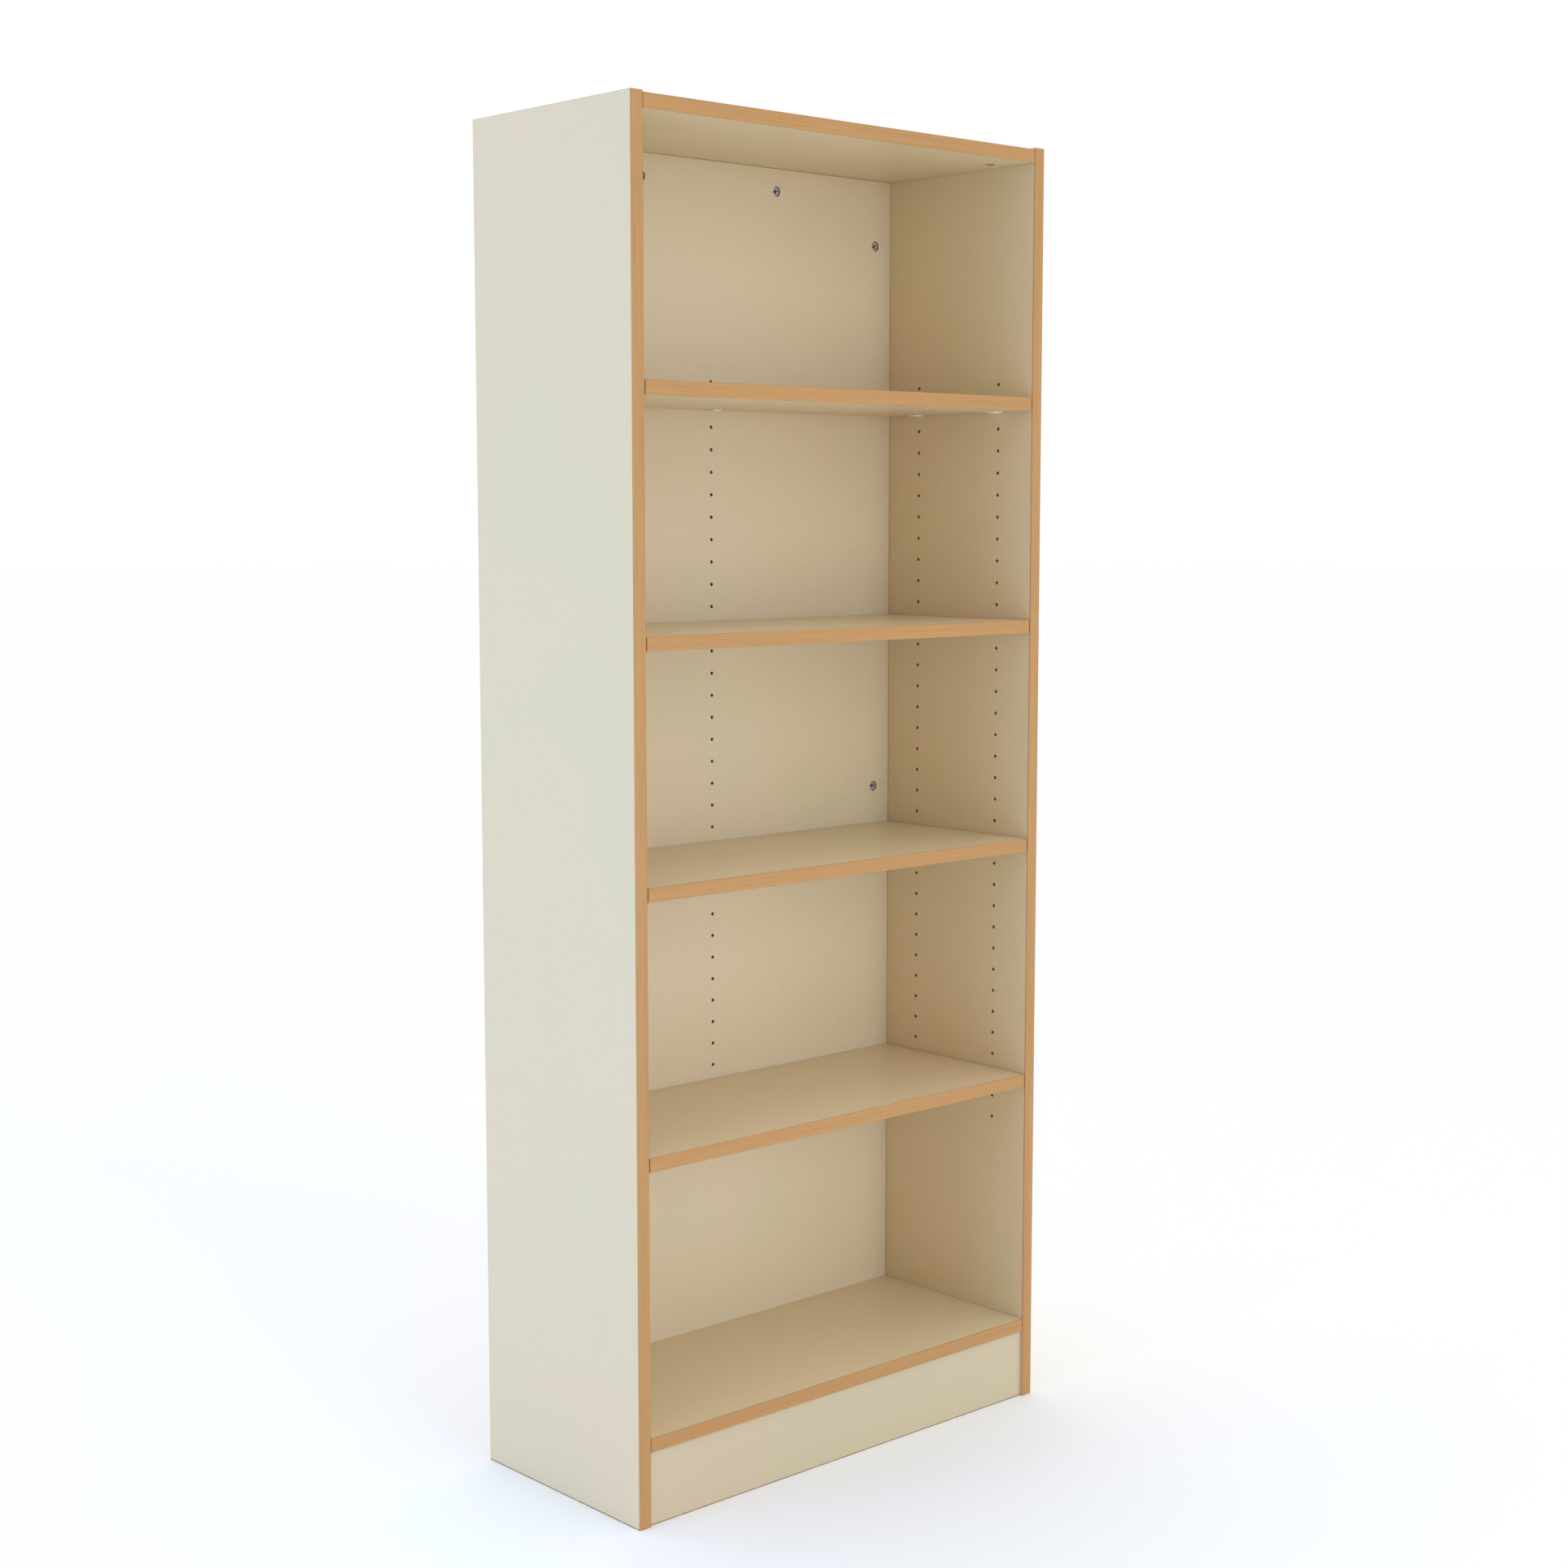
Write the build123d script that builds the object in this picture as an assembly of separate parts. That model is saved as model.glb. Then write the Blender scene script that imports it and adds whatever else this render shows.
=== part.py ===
from build123d import *
import os

# Free-standing bookcase with four adjustable shelves, made of laminated chipboard with
# beech lippings. Frame: +Z up, front towards -Y, +X to the right of someone facing it.
# The origin is on the floor, in the middle of the footprint. Sizes are in millimetres.

# Carcass
overall_width = 756.0
overall_depth = 333.0
overall_height = 1836.0
board = 19.0                 # thickness of every board
plinth_height = 100.0
top_drop = 2.0               # the top panel lies this far below the tops of the sides
back_face_depth = 292.0      # front face of the back panel, behind the front of the sides
back_top_gap = 0.5           # assembly gap over the back panel

# How far each front edge lies behind the front of the sides
top_setback = 0.5
bottom_setback = 0.5
shelf_setback = 0.5
plinth_setback = 4.2

# Edges
lipping = 2.0                # solid beech on the front edges
lipping_radius = 1.0
lipping_gap = 0.9            # between the sides and the lipping of a fixed panel
edge_strip = 1.0             # thin edging on the top and rear edges of the sides
base_strip = 1.5             # brown strip under the sides and the plinth

# Rows of support holes
hole_pitch = 32.0
hole_count = 35
hole_radius = 2.5
hole_depth = 12.0
top_hole_z = 1505.5
front_column = 67.0          # depth of the columns behind the front of the sides
rear_column = 229.0

# Shelves and their plug-in supports
shelf_gap = 2.0              # clearance at both ends and at the rear of a shelf
shelf_rows = [1, 11, 21, 32]     # hole, counted from the top, that carries each shelf
support_drop = 7.7           # underside of the shelf below the middle of the hole
support_reach = 16.0
support_width = 16.0
support_plate = 1.8
support_leg = 1.6
support_leg_rise = 6.0       # top of the leg above the middle of the hole
support_corner = 3.5
pin_radius = 2.45
pin_length = 9.0

# Cam connectors: a cam in the face of one board pulls a bolt that stands in the next board
cam_hole_radius = 7.5
cam_hole_depth = 14.5
cam_radius = 7.35
cam_height = 12.0
cam_chamfer = 0.7
cam_offset = 32.5            # from the cam to the joint
cam_throat_radius = 3.7
cam_throat_start = -2.6      # the throat begins just past the cam's middle
cam_slot = (8.0, 1.4, 1.8)   # length, width and depth of a bar of the cross recess
bolt_head_radius = 3.3
bolt_head_length = 3.6
bolt_radius = 2.9
bolt_neck_radius = 1.75
bolt_thread_radius = 2.45
bolt_thread_length = 11.0
edge_bore_radius = 4.0
top_cam_depth = 58.0
bottom_cam_depths = [57.0, 235.0]
back_side_cam_heights = [84.5, 901.5, 1718.5]
back_top_cam_x = 126.0

# Dowels
dowel_radius = 4.0
dowel_in_edge = 18.0
dowel_in_face = 12.0
dowel_play = 0.05
dowel_relief = 0.5           # spare depth at each end of a dowel hole
end_dowel_depths = [100.0, 200.0]
back_dowel_x = 180.0
plinth_dowel_x = [-240.0, 0.0, 240.0]

# Corner blocks behind the plinth
block_side = 25.0
block_low = 15.0
block_high = 85.0
block_edge_radius = 2.0
screw_radius = 1.75
screw_head_radius = 3.5
screw_head_length = 2.5
screw_bite = 12.0            # how far a screw reaches into the board behind its block
screw_play = 0.1

# Worked out from the above
half_width = overall_width / 2
half_inside = half_width - board
side_top = overall_height - edge_strip
top_upper = overall_height - top_drop
top_under = top_upper - board
bottom_upper = plinth_height + board
plinth_rear = plinth_setback + board
back_rear = back_face_depth + board
sides = {"left": -1, "right": 1}


def at(depth):
    """Y of a place that lies this deep behind the front of the sides."""
    return depth - overall_depth / 2


def box(x, depth, z):
    """Box between pairs of limits; the second pair is depth behind the front."""
    x0, x1 = sorted(x)
    size = (x1 - x0, depth[1] - depth[0], z[1] - z[0])
    centre = ((x0 + x1) / 2, at(sum(depth) / 2), sum(z) / 2)
    return Pos(*centre) * Box(*size)


def rod(start, direction, radius, length):
    return Solid.make_cylinder(radius, length, Plane(origin=start, z_dir=direction))


def hole_z(row):
    return top_hole_z - hole_pitch * row


# Holes ------------------------------------------------------------------------------

def side_hole_rows(sign):
    """Both columns of support holes in the inner face of one side."""
    return [rod((sign * half_inside, at(column), hole_z(row)), (sign, 0, 0), hole_radius, hole_depth)
            for column in (front_column, rear_column) for row in range(hole_count)]


def back_hole_row():
    return [rod((0, at(back_face_depth), hole_z(row)), (0, 1, 0), hole_radius, hole_depth)
            for row in range(hole_count)]


# Cam connectors: z of each plane points out of the face with the cam, x along the bolt --

def end_connector(sign, depth, z):
    """Cam under a horizontal panel, with its bolt in a side."""
    place = (sign * (half_inside - cam_offset), at(depth), z)
    return Plane(origin=place, x_dir=(sign, 0, 0), z_dir=(0, 0, -1))


def back_side_connector(sign, z):
    place = (sign * (half_inside - cam_offset), at(back_face_depth), z)
    return Plane(origin=place, x_dir=(sign, 0, 0), z_dir=(0, -1, 0))


def back_top_connector(sign):
    place = (sign * back_top_cam_x, at(back_face_depth), top_under - cam_offset)
    return Plane(origin=place, x_dir=(0, 0, 1), z_dir=(0, -1, 0))


top_connectors = [end_connector(sign, top_cam_depth, top_under) for sign in (-1, 1)]
bottom_connectors = [end_connector(sign, depth, plinth_height)
                     for sign in (-1, 1) for depth in bottom_cam_depths]
back_connectors = [back_side_connector(sign, z) for sign in (-1, 1) for z in back_side_cam_heights]
back_connectors += [back_top_connector(sign) for sign in (-1, 1)]
connectors = top_connectors + bottom_connectors + back_connectors


def connector_void(plane):
    """Cam pocket, bore along the board to its edge, and bolt hole in the next board."""
    axis_point = (0, 0, -board / 2)
    joint_point = (cam_offset, 0, -board / 2)
    pocket = rod((0, 0, -cam_hole_depth), (0, 0, 1), cam_hole_radius, cam_hole_depth + 1)
    bore = rod(axis_point, (1, 0, 0), edge_bore_radius, cam_offset)
    bolt_hole = rod(joint_point, (1, 0, 0), hole_radius, hole_depth)
    return [plane.location * solid for solid in (pocket, bore, bolt_hole)]


def cam(plane):
    """Cam with a cross recess in its face and a throat that takes the bolt's head."""
    face_z = cam_height - cam_hole_depth
    body = rod((0, 0, -cam_hole_depth), (0, 0, 1), cam_radius, cam_height)
    body = chamfer(Part(body.wrapped).edges().group_by(Axis.Z)[-1], cam_chamfer)
    length, width, depth = cam_slot
    recess = Pos(0, 0, face_z - depth / 2) * (Box(length, width, depth) + Box(width, length, depth))
    throat_length = cam_radius + 1 - cam_throat_start
    throat = rod((cam_throat_start, 0, -board / 2), (1, 0, 0), cam_throat_radius, throat_length)
    return plane.location * (body - recess - throat)


def cam_bolt(plane):
    """Bolt with a round head in the cam, a plain neck and a thread in the next board."""
    axis_z = -board / 2
    head = rod((-bolt_head_length / 2, 0, axis_z), (1, 0, 0), bolt_head_radius, bolt_head_length)
    neck_start = bolt_head_length / 2
    neck = rod((neck_start, 0, axis_z), (1, 0, 0), bolt_neck_radius, cam_radius - neck_start)
    shank = rod((cam_radius, 0, axis_z), (1, 0, 0), bolt_radius, cam_offset - cam_radius)
    thread = rod((cam_offset, 0, axis_z), (1, 0, 0), bolt_thread_radius, bolt_thread_length)
    return plane.location * (Part(head.wrapped) + neck + shank + thread)


# Dowels: each place is on the joint, and its direction points into the drilled face -----

def dowel_places():
    places = [((sign * half_inside, at(depth), z + board / 2), (sign, 0, 0))
              for sign in (-1, 1) for depth in end_dowel_depths for z in (top_under, plinth_height)]
    places += [((sign * back_dowel_x, at(back_face_depth), plinth_height + board / 2), (0, 1, 0))
               for sign in (-1, 1)]
    places += [((x, at(plinth_setback + board / 2), plinth_height), (0, 0, 1)) for x in plinth_dowel_x]
    return places


def dowel(place, direction, radius, spare):
    start = Vector(*place) - Vector(*direction) * (dowel_in_edge + spare)
    return rod(start, direction, radius, dowel_in_edge + dowel_in_face + 2 * spare)


# Screws of the corner blocks -------------------------------------------------------------

def block_screw_places(sign):
    """One screw through the block into the side and one into the plinth."""
    across = block_side / 2
    low = block_low + (block_high - block_low) / 3
    high = block_high - (block_high - block_low) / 3
    into_side = (sign * (half_inside - block_side), at(plinth_rear + across), low)
    into_plinth = (sign * (half_inside - across), at(plinth_rear + block_side), high)
    return [(into_side, (sign, 0, 0)), (into_plinth, (0, -1, 0))]


def screw(place, direction, play=0.0):
    """Countersunk screw, or with some play the hole that it fits."""
    plane = Plane(origin=place, z_dir=direction)
    head = Solid.make_cone(screw_head_radius + play, screw_radius + play, screw_head_length, plane)
    shank = rod(place, direction, screw_radius + play, block_side + screw_bite + play)
    return Part(head.wrapped) + shank


def all_screws(play=0.0):
    return [screw(place, direction, play)
            for sign in (-1, 1) for place, direction in block_screw_places(sign)]


def joint_voids():
    """Every hole that a connector, a dowel or a screw needs."""
    voids = [void for plane in connectors for void in connector_void(plane)]
    voids += [dowel(*place, dowel_radius + dowel_play, dowel_relief) for place in dowel_places()]
    return voids + all_screws(screw_play)


# Boards ------------------------------------------------------------------------------------

def side_panel(sign, voids):
    panel = box((sign * half_inside, sign * half_width), (lipping, overall_depth - edge_strip),
                (base_strip, side_top))
    return panel - (side_hole_rows(sign) + voids)


def side_strips(sign):
    """Lipping, top strip, rear strip and base strip of one side."""
    width = (sign * half_inside, sign * half_width)
    front = box(width, (0, lipping), (0, overall_height))
    front = fillet(front.edges().filter_by(Axis.Z).group_by(Axis.Y)[0], lipping_radius)
    return {
        "front_lipping": front,
        "top_strip": box(width, (lipping, overall_depth), (side_top, overall_height)),
        "rear_strip": box(width, (overall_depth - edge_strip, overall_depth), (base_strip, side_top)),
        "base_strip": box(width, (lipping, overall_depth), (0, base_strip)),
    }


def front_lipping(half_length, setback, z):
    """Beech strip on the front edge of a horizontal board, rounded at both arrises."""
    strip = box((-half_length, half_length), (setback, setback + lipping), z)
    return fillet(strip.edges().filter_by(Axis.X).group_by(Axis.Y)[0], lipping_radius)


def top_panel(voids):
    panel = box((-half_inside, half_inside), (top_setback + lipping, overall_depth), (top_under, top_upper))
    return panel - voids


def bottom_panel(voids):
    panel = box((-half_inside, half_inside), (bottom_setback + lipping, back_face_depth),
                (plinth_height, bottom_upper))
    return panel - voids


def back_panel(voids):
    panel = box((-half_inside, half_inside), (back_face_depth, back_rear), (0, top_under - back_top_gap))
    return panel - (back_hole_row() + voids)


def plinth(voids):
    panel = box((-half_inside, half_inside), (plinth_setback, plinth_rear), (base_strip, plinth_height))
    return panel - voids


def corner_block(sign, voids):
    block = box((sign * (half_inside - block_side), sign * half_inside),
                (plinth_rear, plinth_rear + block_side), (block_low, block_high))
    inner = block.edges().filter_by(Axis.Z).sort_by(Axis.Y)[-2:].sort_by(Axis.X)
    corner = inner[0] if sign > 0 else inner[-1]
    return fillet(corner, block_edge_radius) - voids


def shelf(underside):
    half_length = half_inside - shelf_gap
    return box((-half_length, half_length), (shelf_setback + lipping, back_face_depth - shelf_gap),
               (underside, underside + board))


def support(plane):
    """Plug-in support: z of the plane points out of the wall and y is up."""
    low = -support_drop - support_plate
    rise = support_leg_rise - low
    leg = Pos(0, low + rise / 2, support_leg / 2) * Box(support_width, rise, support_leg)
    plate = Pos(0, low + support_plate / 2, support_reach / 2)
    plate = plate * Box(support_width, support_plate, support_reach)
    plate = fillet(plate.edges().filter_by(Axis.Y).group_by(Axis.Z)[-1], support_corner)
    leg = fillet(leg.edges().filter_by(Axis.Z).group_by(Axis.Y)[-1], support_corner)
    pin = rod((0, 0, -pin_length), (0, 0, 1), pin_radius, pin_length)
    return plane.location * (leg + plate + pin)


def support_planes(z):
    """The five holes that carry one shelf."""
    planes = {}
    for end, depth in (("front", front_column), ("rear", rear_column)):
        for side, sign in sides.items():
            planes[f"{end}_{side}"] = Plane(origin=(sign * half_inside, at(depth), z),
                                            x_dir=(0, -sign, 0), z_dir=(-sign, 0, 0))
    planes["rear_centre"] = Plane(origin=(0, at(back_face_depth), z), x_dir=(1, 0, 0), z_dir=(0, -1, 0))
    return planes


def build():
    voids = joint_voids()
    nodes = {
        "top_panel": top_panel(voids),
        "top_panel_front_lipping": front_lipping(half_inside - lipping_gap, top_setback,
                                                 (top_under, top_upper)),
        "bottom_panel": bottom_panel(voids),
        "bottom_panel_front_lipping": front_lipping(half_inside - lipping_gap, bottom_setback,
                                                    (plinth_height, bottom_upper)),
        "plinth": plinth(voids),
        "plinth_base_strip": box((-half_inside, half_inside), (plinth_setback, plinth_rear),
                                 (0, base_strip)),
        "back_panel": back_panel(voids),
        "top_panel_cams": Compound([cam(plane) for plane in top_connectors]),
        "bottom_panel_cams": Compound([cam(plane) for plane in bottom_connectors]),
        "back_panel_cams": Compound([cam(plane) for plane in back_connectors]),
        "cam_bolts": Compound([cam_bolt(plane) for plane in connectors]),
        "dowels": Compound([dowel(*place, dowel_radius, 0) for place in dowel_places()]),
        "corner_block_screws": Compound(all_screws()),
    }
    for side, sign in sides.items():
        nodes[f"{side}_side_panel"] = side_panel(sign, voids)
        nodes[f"{side}_corner_block"] = corner_block(sign, voids)
        for name, strip in side_strips(sign).items():
            nodes[f"{side}_side_{name}"] = strip
    for number, row in enumerate(shelf_rows, start=1):
        underside = hole_z(row) - support_drop
        nodes[f"shelf_{number}"] = shelf(underside)
        nodes[f"shelf_{number}_front_lipping"] = front_lipping(half_inside - shelf_gap, shelf_setback,
                                                               (underside, underside + board))
        for name, plane in support_planes(hole_z(row)).items():
            nodes[f"shelf_{number}_support_{name}"] = support(plane)
    return nodes


os.makedirs("parts", exist_ok=True)
for node, shape in build().items():
    export_step(shape, f"parts/{node}.step")
    print(node, len(shape.solids()), round(shape.volume, 1))
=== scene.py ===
"""Finish of a free-standing bookcase: laminated boards, beech lippings, shelf supports and cams."""
import math

import bmesh
import bpy
import numpy as np
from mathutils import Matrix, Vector


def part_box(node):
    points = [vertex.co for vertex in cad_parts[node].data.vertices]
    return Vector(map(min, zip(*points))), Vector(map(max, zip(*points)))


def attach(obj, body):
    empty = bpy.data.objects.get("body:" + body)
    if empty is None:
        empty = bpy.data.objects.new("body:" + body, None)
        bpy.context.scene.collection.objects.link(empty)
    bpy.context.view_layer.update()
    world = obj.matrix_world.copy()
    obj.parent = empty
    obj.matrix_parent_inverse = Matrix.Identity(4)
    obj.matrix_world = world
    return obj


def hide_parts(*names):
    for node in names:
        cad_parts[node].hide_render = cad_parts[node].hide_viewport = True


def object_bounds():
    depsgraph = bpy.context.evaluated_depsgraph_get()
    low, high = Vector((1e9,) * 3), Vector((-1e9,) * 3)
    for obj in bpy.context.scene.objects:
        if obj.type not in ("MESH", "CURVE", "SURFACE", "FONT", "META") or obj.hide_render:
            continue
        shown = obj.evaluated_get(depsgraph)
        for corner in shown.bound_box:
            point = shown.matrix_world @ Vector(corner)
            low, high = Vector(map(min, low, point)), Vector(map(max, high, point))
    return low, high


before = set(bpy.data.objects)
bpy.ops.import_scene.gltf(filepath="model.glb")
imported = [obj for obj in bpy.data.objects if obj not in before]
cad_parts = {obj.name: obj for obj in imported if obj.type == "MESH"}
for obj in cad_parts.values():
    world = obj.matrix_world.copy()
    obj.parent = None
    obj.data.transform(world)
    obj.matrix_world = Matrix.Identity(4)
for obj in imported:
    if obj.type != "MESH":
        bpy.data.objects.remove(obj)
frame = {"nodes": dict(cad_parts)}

bl_info = {
    "name": "Bookcase Finish",
    "version": (1, 0, 0),
    "blender": (4, 5, 0),
    "location": "3D View > Sidebar > Bookcase",
    "description": "Adds lippings, shelf boards, supports, cams and finishes to a bookcase's frame",
    "category": "Add Mesh",
}

CAD_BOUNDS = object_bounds()
MM = 0.001
SIDES = ("left", "right")
SHELVES = (1, 2, 3, 4)
SUPPORT_PLACES = ("front_left", "front_right", "rear_left", "rear_right", "rear_centre")
CARCASS = "carcass"
LOW, HIGH = (np.array(corner) for corner in CAD_BOUNDS)
AXES = {"X": 0, "Y": 1, "Z": 2}
CAM_RADIUS, CAM_HEIGHT = 7.35 * MM, 12.0 * MM
BACK_CAM_STEP = 817.0 * MM           # between the cams along a side of the back panel
TOP_CAM_X = 126.0 * MM               # of the cams along its top
PIN_RADIUS, PIN_LENGTH = 2.45 * MM, 9.0 * MM
SUPPORT_PLATE, SUPPORT_LEG = 1.8 * MM, 1.6 * MM      # thickness of a support's two parts
SUPPORT_LEG_RISE = 6.0 * MM          # top of the leg above the middle of the pin


def node_box(node):
    """Lowest and highest corner of a CAD node, as arrays in metres."""
    low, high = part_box(node)
    return np.array(low), np.array(high)


# Sizes and colours that a user would change ------------------------------------------------

def colour(name, description, default):
    return bpy.props.FloatVectorProperty(name=name, description=description, default=default,
                                         subtype="COLOR", size=3, min=0.0, max=1.0)


def light_colour(name, description, default):
    return bpy.props.FloatVectorProperty(name=name, description=description, default=default,
                                         subtype="COLOR", size=3, min=0.0, soft_max=2.0)


def level(name, description, default):
    return bpy.props.FloatProperty(name=name, description=description, default=default, min=0.0)


def length(name, description, default):
    return bpy.props.FloatProperty(name=name, description=description, default=default,
                                   unit="LENGTH", subtype="DISTANCE", min=0.0, precision=5)


class BookcaseShapes(bpy.types.PropertyGroup):
    """Small radii, depths and widths that the frame leaves plain."""
    lipping_radius: length("Lipping radius", "Rounding of a lipping's front arrises", 1.0 * MM)
    arris: length("Arris", "Eased edge of a board and of a lipping's back", 0.25 * MM)
    support_edge: length("Support edge", "Rounding along the rim of a moulded support", 0.45 * MM)
    support_corner: length("Support corner", "Rounding of a support's plate, seen from below", 3.5 * MM)
    cam_chamfer: length("Cam chamfer", "Bevel round the face of a cam", 0.9 * MM)
    cam_recess: length("Cross depth", "Depth of a cam's cross recess", 1.7 * MM)
    # painted shade: width of the dark line painted where a panel meets the sides, in place of the shadow
    # between the boards
    joint_shade_line: length("Joint line", "Width of the dark line where a panel meets the sides", 1.1 * MM)


class BookcaseColours(bpy.types.PropertyGroup):
    """Base colours of the finishes, and painted shade that darkens the plinth."""
    laminate: colour("Laminate", "Cream laminate on the boards", (0.747, 0.603, 0.392))
    chipboard: colour("Chipboard", "Raw board inside the drilled holes", (0.36, 0.22, 0.12))
    beech: colour("Beech", "Lacquered beech of the lippings", (0.530, 0.261, 0.079))
    raw_beech: colour("Raw beech", "Dowels and corner blocks", (0.56, 0.36, 0.18))
    edging: colour("Edging", "Thin edging of the side panels", (0.66, 0.52, 0.33))
    # partly painted shade: the dark strip also stands in for the contact shadow along the floor
    base: colour("Base strip", "Brown strip along the floor", (0.36, 0.19, 0.09))
    plastic: colour("Plastic", "Moulded shelf supports", (0.92, 0.92, 0.90))
    zinc: colour("Zinc", "Die-cast cams", (0.74, 0.73, 0.70))
    steel: colour("Steel", "Plated bolts and screws", (0.60, 0.59, 0.56))
    floor: colour("Floor", "Studio floor", (0.975, 0.975, 0.975))
    # painted shade: the plinth's laminate is made darker, as if less light reached it near the floor
    plinth_shade: level("Plinth tone", "How light the plinth is beside the other boards", 0.82)


class BookcaseStudio(bpy.types.PropertyGroup):
    """Levels of the surrounding light, and colours and levels of the lamps."""
    near_sides: level("Left and front", "Surrounding light from the left and the front", 0.6)
    far_sides: level("Right and behind", "Surrounding light from the right and from behind", 1.02)
    above: level("Above", "Surrounding light from above", 1.15)
    frontal: light_colour("Frontal lamp", "Soft lamp straight in front", (0.246, 0.389, 0.665))
    raised: light_colour("Raised lamp", "Soft lamp in front and a little above", (0.249, 0.321, 0.411))
    near: light_colour("Near lamp", "Small square light close in front", (0.074, 0.085, 0.088))
    window: light_colour("Window", "Cool square light on the left", (0.051, 0.224, 0.54))


# Shader building -----------------------------------------------------------------------------

class Socket:
    """A node's output that takes part in sums: every sum adds a Math node."""

    def __init__(self, nodes, output):
        self.nodes = nodes
        self.output = output

    def math(self, operation, first, second):
        return self.nodes.add("ShaderNodeMath", {"operation": operation}, {0: first, 1: second})

    def __add__(self, other):
        return self.math("ADD", self, other)

    __radd__ = __add__

    def __mul__(self, other):
        return self.math("MULTIPLY", self, other)

    __rmul__ = __mul__

    def __sub__(self, other):
        return self.math("SUBTRACT", self, other)

    def __rsub__(self, other):
        return self.math("SUBTRACT", other, self)


class Nodes:
    """The node tree of one material or world."""

    def __init__(self, owner, place="Object"):
        self.owner = owner
        self.owner.use_nodes = True
        self.tree = self.owner.node_tree
        self.tree.nodes.clear()
        self.place = self.add("ShaderNodeTexCoord", output=place)

    def add(self, kind, settings=None, values=None, output=0):
        """Adds a node: its settings first, then numbers, colours or links for its sockets."""
        node = self.tree.nodes.new(kind)
        for key, value in (settings or {}).items():
            setattr(node, key, value)
        for key, value in (values or {}).items():
            if isinstance(value, Socket):
                self.tree.links.new(value.output, node.inputs[key])
            else:
                node.inputs[key].default_value = value
        return Socket(self, node.outputs[output]) if node.outputs else None

    def stretched(self, scale):
        """Object coordinates stretched to a pattern's size along each axis."""
        return self.add("ShaderNodeMapping", None, {"Vector": self.place, "Scale": scale})

    def noise(self, place, scale, detail=3.0, rough=0.5, distortion=0.0):
        return self.add("ShaderNodeTexNoise", None, {"Vector": place, "Scale": scale, "Detail": detail,
                                                     "Roughness": rough, "Distortion": distortion})

    def span(self, value, low, high, out_low=0.0, out_high=1.0):
        """A value's range, cut off at both ends and eased, carried to another range."""
        return self.add("ShaderNodeMapRange", {"interpolation_type": "SMOOTHSTEP"},
                        {"Value": value, "From Min": low, "From Max": high,
                         "To Min": out_low, "To Max": out_high})

    def mix(self, factor, first, second, blend="MIX"):
        """A colour between two colours, or one colour laid on another."""
        return self.add("ShaderNodeMix", {"data_type": "RGBA", "blend_type": blend},
                        {0: factor, 6: first, 7: second}, output=2)

    def bump(self, height, strength, distance):
        return self.add("ShaderNodeBump", None, {"Height": height, "Strength": strength,
                                                 "Distance": distance})

    def finish(self, **values):
        """Connects the surface: names are the shader's own, with underscores for spaces."""
        values = {key.replace("_", " "): value for key, value in values.items()}
        surface = self.add("ShaderNodeBsdfPrincipled", None, values)
        self.add("ShaderNodeOutputMaterial", None, {"Surface": surface})
        return self.owner


def opaque(shade, factor=1.0):
    """A colour with its alpha, made lighter or darker by a factor."""
    return tuple(part * factor for part in shade) + (1.0,)


# Finishes -------------------------------------------------------------------------------------

def laminate_nodes(name, colours):
    """Cream laminate: faint mottling, a fine grain and a pearl texture that softens gloss."""
    nodes = Nodes(bpy.data.materials.new(name))
    cloud = nodes.noise(nodes.place, 6.0, 2.0)
    mottle = nodes.noise(nodes.place, 420.0, 2.0)
    grain = nodes.noise(nodes.place, 1500.0, 2.0, 0.7)
    tone = nodes.span(mottle * 0.5 + grain * 0.5, 0.3, 0.7)
    shade = nodes.mix(tone, opaque(colours.laminate, 0.965), opaque(colours.laminate, 1.03))
    cast = nodes.span(nodes.noise(nodes.place, 3.2, 1.0), 0.38, 0.62)
    shade = nodes.mix(1.0, shade, nodes.mix(cast, (1.012, 0.992, 0.990, 1.0), (0.982, 1.002, 0.985, 1.0)),
                      "MULTIPLY")
    rough = nodes.span(cloud, 0.3, 0.7, 0.27, 0.33) + mottle * 0.05
    normal = nodes.bump(grain + mottle, 0.15, 0.00003)
    return nodes, shade, rough, normal


def laminate(colours):
    nodes, shade, rough, normal = laminate_nodes("laminate", colours)
    return nodes.finish(Base_Color=shade, Roughness=rough, Normal=normal)


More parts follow.
